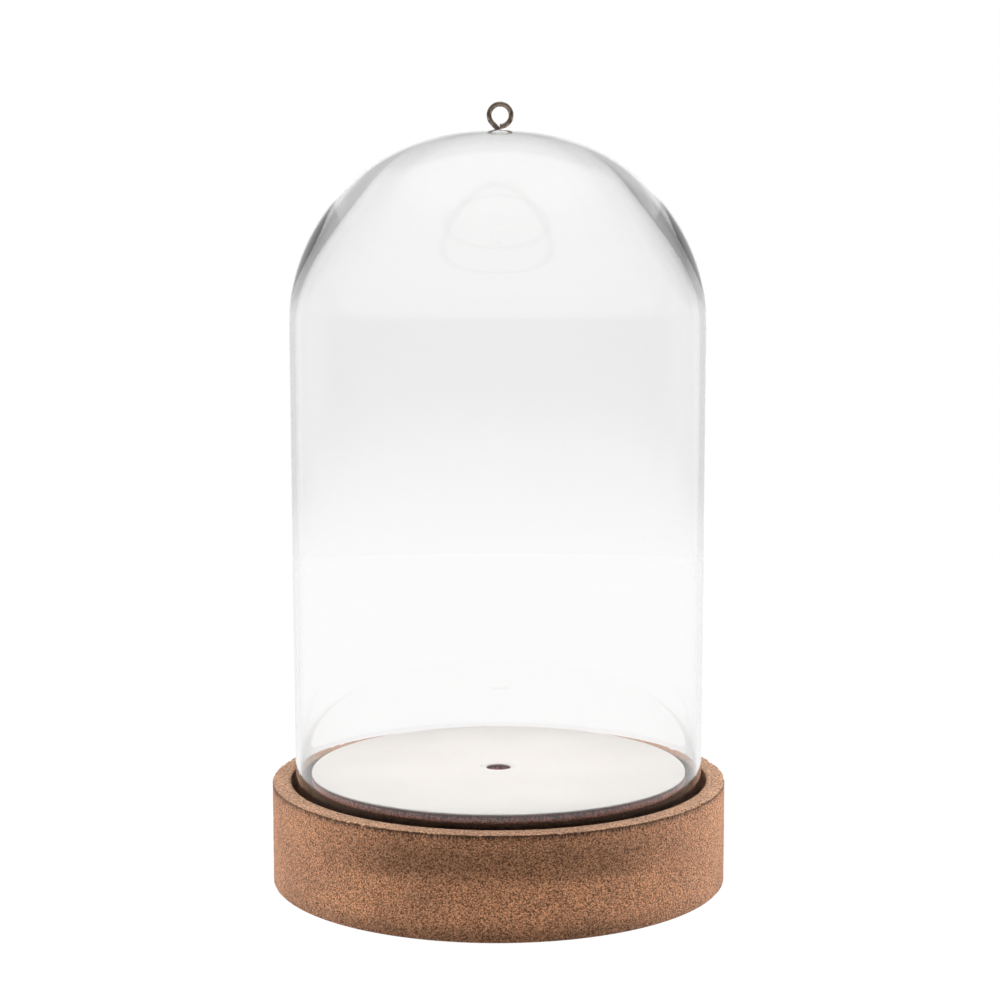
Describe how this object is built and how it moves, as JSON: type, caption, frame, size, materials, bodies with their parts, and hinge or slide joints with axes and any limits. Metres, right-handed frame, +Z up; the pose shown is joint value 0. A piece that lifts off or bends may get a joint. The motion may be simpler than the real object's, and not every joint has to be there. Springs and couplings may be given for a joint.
{
  "type": "bell jar dome",
  "caption": "Thin clear glass bell with a small metal hanging eye in its crown, standing in the groove of a round brown base around a raised white display disc.",
  "frame": {"origin": "centre of the base's underside", "axes": "+Z up along the dome's axis, -Y towards the viewer, the wire eye's loop lying in the XZ plane and leaning towards +X"},
  "size_m": [0.11, 0.11, 0.1871],
  "materials": {
    "clear_glass": "clear, gloss",
    "clear_nylon": "translucent, semi-gloss",
    "eye_metal": "darkened steel wire, semi-gloss",
    "brown_fibreboard": "machined fibreboard, matt, light brown",
    "bare_fibreboard": "machined fibreboard, matt",
    "white_facing": "matt white sheet"
  },
  "bodies": {
    "base": {"base_tray": "brown_fibreboard", "display_disc": "bare_fibreboard", "disc_facing": "white_facing"},
    "dome": {"glass_dome": "clear_glass", "crown_plug": "clear_nylon", "eye_collar": "eye_metal", "screw_eye": "eye_metal"}
  },
  "joints": [
    {"name": "dome_lift", "type": "slide", "parent": "base", "child": "dome", "axis": [0, 0, 1], "range_m": [0, 0.18]}
  ]
}
